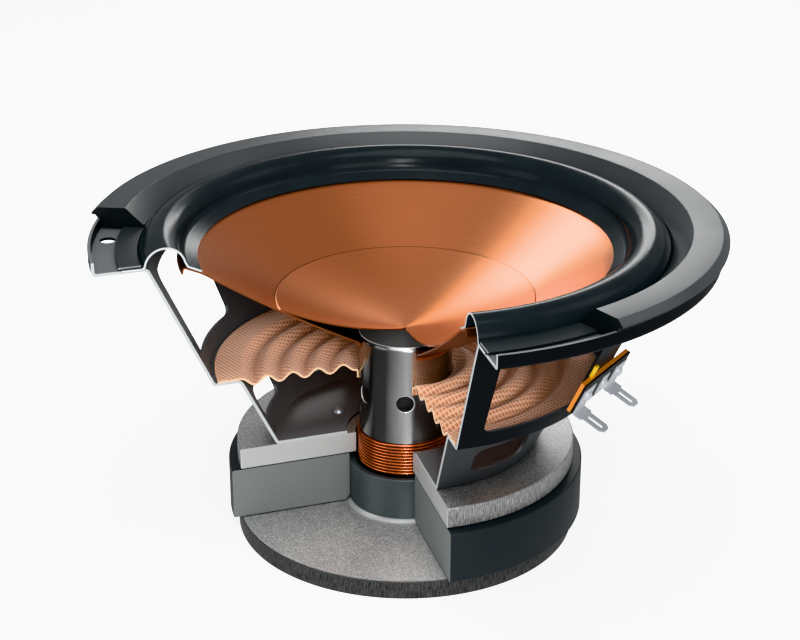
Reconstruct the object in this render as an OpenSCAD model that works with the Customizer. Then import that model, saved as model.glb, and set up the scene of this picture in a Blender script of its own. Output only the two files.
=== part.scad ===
// Car subwoofer loudspeaker driver, built as a cutaway display piece.
// The origin is the centre of the back plate's underside and +Z runs along the axis to the cone.
// Azimuths are in degrees, counted from the front (-Y) towards +X.

/* [Section cut] */
// Azimuth of the left cut face
cut_left = -71; // [-90:0.5:-60]
// Azimuth of the right cut face
cut_right = 15.5; // [6:0.5:19]
// How far the left cut face lies off the axis, counted along its own normal
cut_left_offset = -4; // [-5:0.5:0]
// How far the right cut face lies off the axis, counted along its own normal
cut_right_offset = -2.5; // [-4:0.5:0]
// Azimuth of the cone's left cut edge
cone_cut_left = -72.5; // [-90:0.5:-60]
// Azimuth of the cone's right cut edge
cone_cut_right = 14; // [6:0.5:19]
// Azimuth of the trim ring's left end
trim_cut_left = -95.8; // [-110:0.2:-92]
// Azimuth of the trim ring's right end
trim_cut_right = 36.2; // [30:0.2:42]

/* [Motor] */
// Radius of the back plate
back_plate_r = 72; // [66:0.5:90]
// Thickness of the back plate
back_plate_t = 8.2; // [5:0.1:14]
// Outer radius of the magnet
magnet_r = 75.5; // [70:0.5:95]
// Thickness of the magnet
magnet_t = 22.1; // [18:0.1:34]
// Chamfer on the magnet's edges
magnet_chamfer = 0.8; // [0.4:0.1:1.2]
// Thickness of each glue layer between the magnet and a plate
glue_t = 0.5; // [0.3:0.1:0.8]
// Radius of the top plate
top_plate_r = 71.7; // [64:0.1:90]
// Thickness of the top plate, which is the height of the magnetic gap
top_plate_t = 9; // [7:0.1:12]
// Wall of the centring sleeve inside the magnet
sleeve_wall = 2.7; // [1.5:0.1:4]
// Height of the centring sleeve
sleeve_h = 19.9; // [16:0.1:20.4]
// Height and width of the glue bead round the sleeve's foot
bead_size = 1.6; // [1:0.1:2.2]

/* [Voice coil] */
// Outer radius of the voice coil former
former_r = 19.6; // [16:0.1:25]
// Wall thickness of the former
former_wall = 0.35; // [0.2:0.05:0.6]
// How far the former stands above the cone's neck
former_above_neck = 3.4; // [2:0.1:4]
// Height of the winding
coil_h = 15.3; // [12:0.1:17]
// Diameter of the winding wire
wire_d = 1.3; // [1:0.05:1.45]
// Number of turns in the winding's outer layer
coil_turns = 10; // [8:1:12]
// How far the winding stands out of the former
coil_build = 0.9; // [0.6:0.05:1.1]
// Gap between the winding and the steel on each side
gap_clear = 0.7; // [0.5:0.05:1]
// Diameter of the vent holes through the former
vent_d = 7.3; // [4:0.1:9]
// Number of vent holes, in opposite pairs
vent_count = 6; // [4:2:8]
// Height of the vents above the top plate
vent_above_plate = 21.1; // [12:0.1:23]

/* [Basket] */
// Thickness of the basket's sheet steel
sheet_t = 1.3; // [0.8:0.1:2]
// Height of the basket from its seat on the top plate to the flange's underside
basket_h = 85; // [80:0.5:110]
// Radius at the top of the basket's wall, under the flange
wall_top_r = 107.1; // [92:0.1:130]
// Width of the flange outside the wall
flange_w = 21.6; // [18:0.1:30]
// Height of the lip round the flange
lip_h = 6; // [4:0.1:9]
// Inner radius of the spider shelf
shelf_inner_r = 70.85; // [59:0.05:78]
// Width of the spider shelf
shelf_w = 11.15; // [8:0.05:14]
// Height of the shelf's underside above the seat
shelf_h = 30.7; // [28:0.1:36]
// Radius where the lower wall meets the seat
seat_r = 55.9; // [46:0.1:58]
// How far the hole in the basket's seat stands clear of the centring sleeve's radius
seat_hole_clear = 1; // [0.5:0.1:4]
// Number of windows round the basket
window_count = 8; // [6:1:10]
// Azimuth of the leg that carries the terminals
leg_azimuth = 57.9; // [54:0.1:62]
// Width of each leg between the upper windows, in degrees
leg_angle = 15.5; // [11:0.5:20]
// Width of each lower window, in degrees
low_window_angle = 25; // [12:0.5:27]
// Turn of the lower windows against the upper ones, in degrees
low_window_turn = 2.8; // [0:0.1:4]
// Corner radius of the windows
window_corner = 4; // [1:0.25:5]
// Distance from the flange's edge in to the circle of mounting holes
hole_inset = 6.7; // [5:0.1:9]
// Diameter of each mounting hole
hole_d = 6.6; // [4:0.1:7]
// Number of mounting holes round the whole flange
hole_count = 8; // [4:1:12]

/* [Cone and suspension] */
// Height of the trim ring's top above the flange's seat for the gasket
trim_h = 9.6; // [8:0.1:13]
// Width of the cone's flat edge, where the surround is glued
cone_flat_w = 7.2; // [5:0.1:9]
// Depth of the cone from its edge down to its neck
cone_depth = 42; // [36:0.5:46]
// How far the cone's side sags below a straight line
cone_sag = 1.5; // [0:0.1:3]
// Thickness of the cone's sheet
cone_t = 0.7; // [0.4:0.05:1]
// Radius of the dust cap
cap_r = 54; // [44:0.5:60]
// How far the underside of the dust cap's middle stands clear of the former's top
cap_clear = 0.886; // [0.5:0.001:4]
// Thickness of the dust cap
cap_t = 0.6; // [0.4:0.05:0.9]
// Thickness of the surround's rubber
surround_t = 0.8; // [0.5:0.05:1.2]
// Radius of the surround's half roll, across its middle
roll_r = 8.2; // [7.4:0.1:8.6]
// Width of the surround's clamped edge
clamp_w = 8.1; // [5:0.1:9]
// Thickness of the clamp gasket under the trim ring
gasket_t = 0.6; // [0.4:0.1:1.5]
// Thickness of the spider's cloth
spider_t = 0.7; // [0.4:0.05:1]
// How far the spider's flat edge ends inside the shelf's outer radius
spider_setback = 2; // [1.7:0.1:5]
// Height of the spider's corrugations, from crest to trough
spider_wave_h = 3.2; // [1:0.1:5]
// Number of whole corrugations in the spider
spider_waves = 4; // [3:1:6]
// Height of the spider's collar on the former
collar_h = 3.6; // [2:0.1:5]

/* [Trim ring] */
// How far the trim ring reaches out past the flange
trim_overhang = 2.3; // [1:0.1:4]
// Width of the trim ring's outer bevel
trim_shoulder = 2.7; // [1.5:0.1:4]
// Width of the trim ring's inner bevel
trim_bevel_w = 7.5; // [4:0.1:10]
// How far the trim ring's foot stands back from the top of the basket's wall
trim_setback = 1.8; // [1.5:0.1:4]

/* [Terminals] */
// Length of the terminal board
board_w = 38.6; // [34:0.2:44]
// Height of the terminal board
board_h = 14.4; // [12:0.2:20]
// Thickness of the board's phenolic layer
board_t = 1.6; // [1:0.1:3]
// Thickness of the board's dark face
face_t = 0.9; // [0.5:0.1:1.5]
// Height of the board's middle above the shelf's underside
board_above_shelf = 15.3; // [12:0.1:22]
// Distance from the board's end to the middle of each solder lug
lug_inset = 5.9; // [5:0.1:8]
// Width of each lug's pad
lug_pad_w = 9.3; // [7:0.1:10]
// How far each lug's pad reaches above the middle of the board
lug_pad_top = 4.4; // [3:0.1:6]
// Width of each lug's blade
lug_w = 6.8; // [5:0.1:7]
// Length of each lug's blade
lug_l = 14; // [8:0.5:18]
// Thickness of the lugs' metal
lug_t = 0.6; // [0.4:0.05:1]
// Diameter of the rivets' shanks
rivet_d = 3; // [2:0.1:4]

/* [Fits] */
// Gap between the glued faces of a fixed and a moving piece
glue_gap = 0.15; // [0.1:0.05:0.3]
// Radial clearance of a rivet in its hole
rivet_clear = 0.05; // [0.02:0.01:0.15]

/* [Hidden] */
$fn = 96;
far = 400;
eps = 0.5;

// Levels of the motor, from the underside up
magnet_z = back_plate_t + glue_t;
top_plate_z = magnet_z + magnet_t + glue_t;
seat_z = top_plate_z + top_plate_t;
gap_mid_z = top_plate_z + top_plate_t / 2;
coil_r = former_r + coil_build;
bore_r = coil_r + gap_clear;
sleeve_bore_r = bore_r + 0.1;
sleeve_r = sleeve_bore_r + sleeve_wall;
former_bore_r = former_r - former_wall;
pole_r = former_bore_r - gap_clear / 2;
magnet_bore_r = sleeve_r + 0.15;
coil_z = gap_mid_z - coil_h / 2;
coil_pitch = (coil_h - wire_d) / (coil_turns - 1);

// Levels of the basket
flange_z = seat_z + basket_h;
flange_top_z = flange_z + sheet_t;
shelf_z = seat_z + shelf_h;
shelf_top_z = shelf_z + sheet_t;
bend_r = 1.8;
flange_r = wall_top_r + flange_w;
shelf_r = shelf_inner_r + shelf_w;
seat_hole_r = sleeve_r + seat_hole_clear;
hole_circle_r = flange_r - hole_inset;
basket_path = [[flange_r, flange_z + lip_h], [flange_r, flange_z], [wall_top_r, flange_z], [shelf_r, shelf_z],
    [shelf_inner_r, shelf_z], [seat_r, seat_z], [seat_hole_r, seat_z]];
wall_slope = (wall_top_r - shelf_r) / (flange_z - shelf_z);
wall_lean = atan(wall_slope);
low_slope = (shelf_inner_r - seat_r) / shelf_h;
window_pitch = 360 / window_count;
window_angle = window_pitch - leg_angle;
window_low_z = shelf_top_z + 6.6;
window_top_z = flange_z - 9;
low_window_z = seat_z + 7.6;
low_window_top_z = shelf_z - 10.6;

// Levels of the suspension and cone
trim_z = flange_top_z + trim_h;
gasket_z = flange_top_z + surround_t;
trim_foot_z = gasket_z + gasket_t;
trim_r = flange_r + trim_overhang;
trim_top_outer_r = trim_r - trim_shoulder;
trim_inner_r = wall_top_r + trim_setback;
trim_top_inner_r = trim_inner_r + trim_bevel_w;
roll_mid_r = trim_inner_r - roll_r - 1;
surround_r = trim_inner_r + clamp_w;
cone_edge_r = roll_mid_r - roll_r + 0.8;
cone_r = cone_edge_r - cone_flat_w;
cone_edge_z = flange_top_z - 1;
cone_rim_z = cone_edge_z - 3;
cone_neck_z = cone_edge_z - cone_depth;
cone_lip = 2.6;
former_top_z = cone_neck_z + former_above_neck;
cap_rim_z = cone_z(cap_r) + cone_t;
cap_depth = cap_rim_z - former_top_z - cap_clear; // depth of the dust cap's dish
cone_steps = 8;
spider_r = shelf_r - spider_setback;
spider_flat_r = shelf_inner_r - 0.9;
spider_inner_r = former_r + glue_gap + spider_t;
spider_pitch = (spider_flat_r - spider_inner_r - spider_t) / (spider_waves + 0.5);
wave_steps = 8;

// Levels of the terminals
board_z = shelf_z + board_above_shelf;
board_r = wall_r(board_z);
lug_spacing = board_w - 2 * lug_inset;
rivet_head_r = rivet_d * 0.85;
rivet_head_h = rivet_d * 0.6;
seat_rivet_count = 6;
seat_rivet_azimuth = -116.5;
seat_rivet_circle_r = (seat_hole_r + seat_r) / 2 - 8;

// Radius of the basket's outer wall at a height
function wall_r(z) = shelf_r + (z - shelf_z) * wall_slope;
function low_wall_r(z) = seat_r + (z - seat_z) * low_slope;

// Direction of an azimuth, and the unit vector that points to its right
function heading(az) = [sin(az), -cos(az)];
function unit(v) = v / norm(v);
function side(a, b) = let (d = unit(b - a)) [-d.y, d.x];

// Point i of a path, moved sideways by d with its corners kept square
function shifted(path, i, d) =
    i == 0 ? path[0] + d * side(path[0], path[1]) :
    i == len(path) - 1 ? path[i] + d * side(path[i - 1], path[i]) :
    let (m = side(path[i - 1], path[i]), n = unit(m + side(path[i], path[i + 1])))
    path[i] + n * d / (n * m);

// Outline of a strip between two sideways distances from a path
function strip(path, d0, d1) = concat(
    [for (i = [0 : len(path) - 1]) shifted(path, i, d0)],
    [for (i = [len(path) - 1 : -1 : 0]) shifted(path, i, d1)]);

// Arc that rounds the corner at b, with n steps
function corner_arc(a, b, c, r, n) =
    let (u = unit(a - b), v = unit(c - b), half = acos(u * v) / 2, m = b + unit(u + v) * r / sin(half),
        p = b + u * r / tan(half) - m, q = b + v * r / tan(half) - m,
        start = atan2(p.y, p.x), turn = (atan2(q.y, q.x) - start + 540) % 360 - 180)
    [for (i = [0 : n]) m + r * [cos(start + turn * i / n), sin(start + turn * i / n)]];

// Path with every inner corner rounded to radius r
function rounded(path, r, n) = concat(
    [path[0]],
    [for (i = [1 : len(path) - 2]) each corner_arc(path[i - 1], path[i], path[i + 1], r, n)],
    [path[len(path) - 1]]);

// Where two cut faces meet, from their azimuths and their distances off the axis
function apex(a, b, off_a, off_b) =
    [off_a * sin(b) - off_b * sin(a), off_b * cos(a) - off_a * cos(b)] / sin(b - a);

// Height of the cone's mid surface at a radius
function cone_z(r) = let (t = (r - former_r) / (cone_r - former_r))
    cone_neck_z + (cone_rim_z - cone_neck_z) * t - cone_sag * 4 * t * (1 - t);

// Height of the spider's mid surface at a radius, inside its flat edge
function spider_z(r) = shelf_top_z + spider_t / 2
    - spider_wave_h / 2 * (1 - cos((spider_flat_r - r) / spider_pitch * 360));

// Places something built on the front (-Y) side at an azimuth
module at(az) {
    rotate([0, 0, az]) children();
}

// Wedge that a section cut takes away
module wedge(a, b, off_a = 0, off_b = 0) {
    tip = apex(a, b, off_a, off_b);
    translate([0, 0, -eps])
        linear_extrude(trim_z + 2 * eps)
            polygon([tip, tip + far * heading(a), tip + far * heading(b)]);
}

module main_cut() {
    wedge(cut_left, cut_right, cut_left_offset, cut_right_offset);
}

// Ring with a chamfer on every edge
module chamfered_ring(r0, r1, h, c) {
    rotate_extrude()
        polygon([[r0, c], [r0 + c, 0], [r1 - c, 0], [r1, c], [r1, h - c], [r1 - c, h], [r0 + c, h], [r0, h - c]]);
}

// Domed rivet head with its shank, standing on z = 0
module rivet(head_r, head_h, shank_r, shank_l) {
    dome_r = (head_r * head_r + head_h * head_h) / (2 * head_h);
    rotate_extrude()
        intersection() {
            translate([0, head_h - dome_r]) circle(dome_r);
            square([head_r, head_h]);
        }
    translate([0, 0, -shank_l]) cylinder(r = shank_r, h = shank_l + head_h / 4);
}

module back_plate() {
    color("lightgray")
        rotate_extrude()
            polygon([[0, 0], [back_plate_r - 0.6, 0], [back_plate_r, 0.6],
                [back_plate_r, back_plate_t - 0.4], [back_plate_r - 0.4, back_plate_t], [0, back_plate_t]]);
}

module pole_piece() {
    pole_top = seat_z + 1.5;
    color("gray")
        rotate_extrude()
            polygon([[0, back_plate_t], [pole_r, back_plate_t], [pole_r, pole_top - 1], [pole_r - 1, pole_top],
                [0, pole_top]]);
}

module glue_ring(z) {
    color("black")
        difference() {
            translate([0, 0, z])
                rotate_extrude()
                    translate([sleeve_r + bead_size + 1, 0])
                        square([top_plate_r - sleeve_r - bead_size - 2, glue_t]);
            main_cut();
        }
}

module lower_glue_layer() {
    glue_ring(back_plate_t);
}

module upper_glue_layer() {
    glue_ring(magnet_z + magnet_t);
}

module magnet() {
    foot = bead_size + 0.4;
    color("darkslategray")
        difference() {
            translate([0, 0, magnet_z])
                rotate_extrude()
                    polygon([[magnet_bore_r, foot], [magnet_bore_r + foot, 0], [magnet_r - magnet_chamfer, 0],
                        [magnet_r, magnet_chamfer], [magnet_r, magnet_t - magnet_chamfer],
                        [magnet_r - magnet_chamfer, magnet_t], [magnet_bore_r, magnet_t]]);
            main_cut();
        }
}

module top_plate() {
    color("lightgray")
        difference() {
            translate([0, 0, top_plate_z]) chamfered_ring(bore_r, top_plate_r, top_plate_t, 0.4);
            main_cut();
            at_seat_rivets() translate([0, 0, -4.5]) cylinder(r = rivet_d / 2 + rivet_clear, h = 5);
        }
}

module centring_sleeve() {
    color("dimgray")
        translate([0, 0, back_plate_t])
            rotate_extrude()
                translate([sleeve_bore_r, 0]) square([sleeve_wall, sleeve_h]);
}

module sleeve_bead() {
    color("black")
        translate([0, 0, back_plate_t])
            rotate_extrude()
                polygon([[sleeve_r, 0], [sleeve_r + bead_size, 0], [sleeve_r, bead_size]]);
}

// Repeats something at each rivet in the basket's seat, standing on the top plate
module at_seat_rivets() {
    for (i = [0 : seat_rivet_count - 1])
        at(seat_rivet_azimuth + i * 360 / seat_rivet_count)
            translate([0, -seat_rivet_circle_r, seat_z])
                children();
}

module seat_rivets() {
    color("dimgray")
        difference() {
            at_seat_rivets() translate([0, 0, sheet_t]) rivet(2.6, 2.2, rivet_d / 2, sheet_t + 4);
            main_cut();
        }
}

// Hole for one window, through the wall on the front side
module window(z0, z1, w0, w1) {
    corners = [[-w0, z0], [w0, z0], [w1, z1], [-w1, z1]];
    rotate([90, 0, 0])
        linear_extrude(flange_r)
            polygon([for (i = [0 : 3])
                each corner_arc(corners[(i + 3) % 4], corners[i], corners[(i + 1) % 4], window_corner, 5)]);
}

module upper_windows() {
    spread = tan(window_angle / 2);
    for (i = [0 : window_count - 1])
        at(leg_azimuth + (i + 0.5) * window_pitch)
            window(window_low_z, window_top_z, wall_r(window_low_z) * spread, wall_r(window_top_z) * spread);
}

module lower_windows() {
    spread = tan(low_window_angle / 2);
    for (i = [0 : window_count - 1])
        at(leg_azimuth + (i + 0.5) * window_pitch + low_window_turn)
            window(low_window_z, low_window_top_z, low_wall_r(low_window_z) * spread,
                low_wall_r(low_window_top_z) * spread);
}

module mounting_holes() {
    for (i = [0 : hole_count - 1])
        at(-90 + i * 360 / hole_count)
            translate([0, -hole_circle_r, flange_z - eps])
                cylinder(d = hole_d, h = sheet_t + 2 * eps);
}

module basket() {
    color("darkslategray")
        difference() {
            rotate_extrude() polygon(strip(rounded(basket_path, bend_r, 3), 0, -sheet_t));
            main_cut();
            upper_windows();
            lower_windows();
            mounting_holes();
            at_seat_rivets() translate([0, 0, -eps]) cylinder(r = rivet_d / 2 + rivet_clear, h = sheet_t + 2 * eps);
            on_board() rivet_hole(0, 0);
        }
}

module trim_ring() {
    lip_inner = flange_r - sheet_t;
    lip_top_z = flange_z + lip_h;
    color("silver")
        difference() {
            rotate_extrude()
                polygon([[trim_top_inner_r, trim_z], [trim_top_outer_r, trim_z], [trim_r, trim_z - 2.4],
                    [trim_r, trim_z - 3], [trim_r - 1.6, lip_top_z + 1.6], [flange_r - 0.5, lip_top_z],
                    [lip_inner - 0.4, lip_top_z], [lip_inner - 0.4, trim_foot_z], [trim_inner_r, trim_foot_z],
                    [trim_inner_r, trim_foot_z + 0.8]]);
            wedge(trim_cut_left, trim_cut_right);
        }
}

module clamp_gasket() {
    color("black")
        difference() {
            translate([0, 0, gasket_z])
                rotate_extrude()
                    translate([trim_inner_r, 0]) square([surround_r + 1 - trim_inner_r, gasket_t]);
            main_cut();
        }
}

// Surround: inner edge on the cone, half roll, clamped outer edge
module surround() {
    inner_tip = [cone_r, cone_rim_z];
    outer_tip = [cone_edge_r, cone_edge_z];
    lift = cone_t / 2 + glue_gap;
    color("black")
        difference() {
            rotate_extrude()
                union() {
                    intersection() {
                        translate([roll_mid_r, flange_top_z])
                            difference() {
                                circle(roll_r + surround_t / 2);
                                circle(roll_r - surround_t / 2);
                            }
                        translate([roll_mid_r - far / 2, flange_top_z]) square(far);
                    }
                    translate([roll_mid_r + roll_r - surround_t / 2, flange_top_z])
                        square([surround_r - roll_mid_r - roll_r + surround_t / 2, surround_t]);
                    polygon(strip([inner_tip, outer_tip], lift, lift + surround_t));
                }
            wedge(cone_cut_left, cone_cut_right);
        }
}

// Spider: flat outer edge on the shelf, whole waves, collar on the former
module spider() {
    waves = [for (i = [0 : wave_steps * spider_waves + wave_steps / 2])
        let (r = spider_flat_r - i * spider_pitch / wave_steps) [r, spider_z(r)]];
    low = waves[len(waves) - 1];
    path = concat([[spider_r, shelf_top_z + spider_t / 2]], waves,
        [[former_r + glue_gap + spider_t / 2, low.y], [former_r + glue_gap + spider_t / 2, low.y - collar_h]]);
    color("peru")
        difference() {
            rotate_extrude() polygon(strip(path, -spider_t / 2, spider_t / 2));
            main_cut();
        }
}

module cone() {
    flare = [for (i = [0 : cone_steps])
        let (r = former_r + (cone_r - former_r) * i / cone_steps) [r, cone_z(r)]];
    path = concat([[former_r + cone_t / 2, cone_neck_z - 2]],
        [for (i = [1 : cone_steps]) flare[i]],
        [[cone_edge_r, cone_edge_z], [cone_edge_r + 0.7, cone_edge_z - cone_lip]]);
    color("chocolate")
        difference() {
            rotate_extrude() polygon(strip(path, -cone_t / 2, cone_t / 2));
            wedge(cone_cut_left, cone_cut_right);
        }
}

// Dished cap whose rim rests on the cone's face
module dust_cap() {
    dish_r = (cap_r * cap_r + cap_depth * cap_depth) / (2 * cap_depth);
    dish_z = cap_rim_z + cap_t - cap_depth + dish_r;
    color("chocolate")
        difference() {
            rotate_extrude()
                intersection() {
                    translate([0, dish_z])
                        difference() {
                            circle(dish_r + cap_t, $fn = 360);
                            circle(dish_r, $fn = 360);
                        }
                    translate([0, cap_rim_z - cap_depth - 2]) square([cap_r, cap_depth + 4]);
                }
            wedge(cone_cut_left, cone_cut_right);
        }
}

module voice_coil_former() {
    bottom = coil_z - 0.8;
    vent_z = seat_z + vent_above_plate;
    color("silver")
        difference() {
            translate([0, 0, bottom]) cylinder(r = former_r, h = former_top_z - bottom);
            translate([0, 0, bottom - eps]) cylinder(r = former_bore_r, h = far);
            for (i = [0 : vent_count / 2 - 1])
                at(i * 360 / vent_count)
                    translate([0, former_r + eps, vent_z])
                        rotate([90, 0, 0]) cylinder(d = vent_d, h = 2 * (former_r + eps));
        }
}

module voice_coil() {
    color("orangered")
        translate([0, 0, coil_z])
            rotate_extrude()
                difference() {
                    union() {
                        for (i = [0 : coil_turns - 1])
                            translate([coil_r - wire_d / 2, wire_d / 2 + i * coil_pitch]) circle(d = wire_d);
                        translate([former_r, 0.3]) square([coil_build * 0.55, coil_h - 0.6]);
                    }
                    square([former_r, coil_h]);
                }
}

// Frame of the terminal board: X along the board, Z up the wall, -Y out of its face
module on_board() {
    at(leg_azimuth) translate([0, -board_r, board_z]) rotate([wall_lean, 0, 0]) children();
}

// Hole for a rivet's shank through the board, its face and the wall behind
module rivet_hole(x, z) {
    translate([x, 6, z]) rotate([90, 0, 0]) cylinder(r = rivet_d / 2 + rivet_clear, h = 12);
}

// Rivet whose head stands on a surface in front of the board
module board_rivet(x, z, front, shank) {
    translate([x, -front, z]) rotate([90, 0, 0]) rivet(rivet_head_r, rivet_head_h, rivet_d / 2, shank);
}

module terminal_board() {
    color("darkorange")
        on_board()
            difference() {
                translate([-board_w / 2, -board_t, -board_h / 2]) cube([board_w, board_t, board_h]);
                for (x = [-lug_spacing / 2, 0, lug_spacing / 2]) rivet_hole(x, 0);
            }
}

module terminal_face() {
    color("black")
        on_board()
            difference() {
                translate([-board_w / 2, -board_t - face_t, -board_h / 2]) cube([board_w, face_t, board_h]);
                for (x = [-lug_spacing / 2, 0, lug_spacing / 2]) rivet_hole(x, 0);
            }
}

// Solder lug: pad on the board's face, and a slotted blade bent out from its foot
module solder_lug(x) {
    front = board_t + face_t;
    foot = -board_h / 2 - 1;
    lug_pad_h = lug_pad_top - foot;
    root_l = 4.2;
    tip = 1.6;
    slot_w = 1.5;
    slot = [root_l + 1.6, lug_l - 2.6];
    color("gainsboro")
        on_board()
            translate([x, 0, 0]) {
                difference() {
                    translate([-lug_pad_w / 2, -front - lug_t, foot]) cube([lug_pad_w, lug_t, lug_pad_h]);
                    rivet_hole(0, 0);
                }
                translate([0, -front, foot])
                    linear_extrude(lug_t)
                        difference() {
                            polygon([[-lug_pad_w / 2, 0], [-lug_pad_w / 2, -root_l], [-lug_w / 2, -root_l],
                                [-lug_w / 2, tip - lug_l], [tip - lug_w / 2, -lug_l], [lug_w / 2 - tip, -lug_l],
                                [lug_w / 2, tip - lug_l], [lug_w / 2, -root_l], [lug_pad_w / 2, -root_l],
                                [lug_pad_w / 2, 0]]);
                            translate([-slot_w / 2, -slot[1]]) square([slot_w, slot[1] - slot[0]]);
                            for (y = slot) translate([0, -y]) circle(d = slot_w);
                        }
            }
}

module solder_lug_left() {
    solder_lug(-lug_spacing / 2);
}

module solder_lug_right() {
    solder_lug(lug_spacing / 2);
}

module lug_rivets() {
    color("silver")
        on_board()
            for (x = [-1, 1])
                board_rivet(x * lug_spacing / 2, 0, board_t + face_t + lug_t, board_t + face_t + lug_t);
}

// Narrow metal strap under the middle rivet
module terminal_clip() {
    color("silver")
        on_board()
            difference() {
                translate([-2.6, -board_t - face_t - lug_t, -4.7]) cube([5.2, lug_t, 9.4]);
                rivet_hole(0, 0);
            }
}

module terminal_rivet() {
    front = board_t + face_t + lug_t;
    color("silver") on_board() board_rivet(0, 0, front, front + sheet_t + 0.8);
}

// Short insulating sleeve that stands up behind the board's left half
module lead_sleeve() {
    color("gold")
        on_board()
            translate([-board_w / 2 + 6.8, 0, board_h / 2])
                difference() {
                    translate([0, -0.9, 0]) cube([2, 1.2, 5.4]);
                    translate([1, -0.3, 0.8]) cylinder(d = 0.6, h = 5);
                }
}

back_plate();
pole_piece();
lower_glue_layer();
magnet();
upper_glue_layer();
top_plate();
centring_sleeve();
sleeve_bead();
seat_rivets();
basket();
trim_ring();
clamp_gasket();
surround();
spider();
cone();
dust_cap();
voice_coil_former();
voice_coil();
terminal_board();
terminal_face();
solder_lug_left();
solder_lug_right();
lug_rivets();
terminal_clip();
terminal_rivet();
lead_sleeve();
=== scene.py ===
"""Cutaway car subwoofer driver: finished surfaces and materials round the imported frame.

Lengths are in metres and azimuths in degrees, counted from the front (-Y) towards +X.
"""
import math

import bmesh
import bpy
import numpy as np
from bpy.props import FloatProperty, FloatVectorProperty, IntProperty, PointerProperty
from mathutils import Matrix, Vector
from mathutils.geometry import tessellate_polygon


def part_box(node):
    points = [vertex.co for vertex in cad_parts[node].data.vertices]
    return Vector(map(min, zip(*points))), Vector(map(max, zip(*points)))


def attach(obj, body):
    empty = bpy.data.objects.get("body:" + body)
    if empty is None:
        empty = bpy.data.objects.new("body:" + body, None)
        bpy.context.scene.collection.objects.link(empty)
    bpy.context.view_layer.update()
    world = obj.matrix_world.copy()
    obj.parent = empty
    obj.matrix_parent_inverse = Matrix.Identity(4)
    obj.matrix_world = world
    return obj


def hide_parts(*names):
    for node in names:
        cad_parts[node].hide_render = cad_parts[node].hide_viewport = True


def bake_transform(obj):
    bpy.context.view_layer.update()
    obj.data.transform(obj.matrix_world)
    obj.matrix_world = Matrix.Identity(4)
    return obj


bl_info = {
    "name": "Cutaway Subwoofer Driver",
    "version": (1, 0, 0),
    "blender": (4, 5, 0),
    "location": "View3D > Sidebar > Speaker",
    "description": "Builds a sectioned loudspeaker driver, piece by piece",
    "category": "Add Mesh",
}

MM = 0.001

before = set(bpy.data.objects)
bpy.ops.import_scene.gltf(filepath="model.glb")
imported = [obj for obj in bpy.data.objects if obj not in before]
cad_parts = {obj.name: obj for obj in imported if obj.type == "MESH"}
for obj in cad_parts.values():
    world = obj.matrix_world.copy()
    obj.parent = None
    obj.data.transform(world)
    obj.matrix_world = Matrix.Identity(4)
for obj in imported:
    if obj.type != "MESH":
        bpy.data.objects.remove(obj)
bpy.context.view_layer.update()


def reach(node):
    """Outer radius, lowest and highest point of a CAD node."""
    lo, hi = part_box(node)
    return max(hi.y, hi.x), lo.z, hi.z


BACK_R, BACK_Z0, BACK_Z1 = reach("back_plate")
MAGNET_R, MAGNET_Z0, MAGNET_Z1 = reach("magnet")
PLATE_R, PLATE_Z0, PLATE_Z1 = reach("top_plate")
SLEEVE_R, SLEEVE_Z0, SLEEVE_Z1 = reach("centring_sleeve")
BEAD_R, BEAD_Z0, BEAD_Z1 = reach("sleeve_bead")
RING_R, RING_Z0, RING_Z1 = reach("trim_ring")
GASKET_R, GASKET_Z0, GASKET_Z1 = reach("clamp_gasket")
FLANGE_R, SEAT_Z, LIP_Z = reach("basket")
SURROUND_R, CAP_R = reach("surround")[0], reach("dust_cap")[0]
SPIDER_R, SPIDER_Z0, SPIDER_Z1 = reach("spider")
CONE_Z0 = reach("cone")[1]
FORMER_R, FORMER_Z0, FORMER_Z1 = reach("voice_coil_former")
COIL_R, COIL_Z0, COIL_Z1 = reach("voice_coil")

RUBBER_SHEET = 0.8 * MM
FLANGE_TOP_Z = GASKET_Z0 - RUBBER_SHEET
CLAMP_WIDTH = 9.1 * MM  # of the surround's edge, under the gasket and the trim ring
RING_BORE_R = GASKET_R - CLAMP_WIDTH
GLUE_JOINT = 0.15 * MM  # space between two glued pieces
GLUE_SETBACK = 2.6 * MM  # from the sleeve to the glue layers' inner edge
COIL_GAP = 0.7 * MM  # between the winding and the top plate
SLEEVE_GAP = 0.8 * MM  # between the winding and the sleeve
CONE_NECK = 2 * MM  # height of the upright neck that is glued to the former
CONE_EDGE_DROP = 1 * MM  # of the cone's edge below the top of the basket's flange
CONE_LEFT_OFFSET, CONE_RIGHT_OFFSET = 0.95 * MM, -0.24 * MM  # of the cone's cut edges from the axis

# Painted reflections on the former's foil round its wall, bright where the front lamp would reflect: share
# of the turn, from the back by way of -X, and brightness
FOIL_PAINTED_REFLECTIONS = ((0.0, 0.55), (0.25, 0.40), (0.33, 0.50), (0.385, 0.15), (0.43, 0.17), (0.475, 0.66),
              (0.505, 1.0), (0.56, 0.75), (0.62, 0.50), (0.68, 0.16), (0.75, 0.40), (1.0, 0.55))

COPPER_PIECES = ("cone_spun", "dust_cap_spun")
# Groups that a lamp can be limited to: the pieces, and whether it lights them or leaves them out
LIT_GROUPS = {
    "only_copper": (COPPER_PIECES, "INCLUDE"),
    "all_but_copper": (COPPER_PIECES, "EXCLUDE"),
    "only_cap": (("dust_cap_spun",), "INCLUDE"),
    "only_spider": (("spider_cloth_ring",), "INCLUDE"),
    "only_former": (("former_tube",), "INCLUDE"),
}
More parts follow.
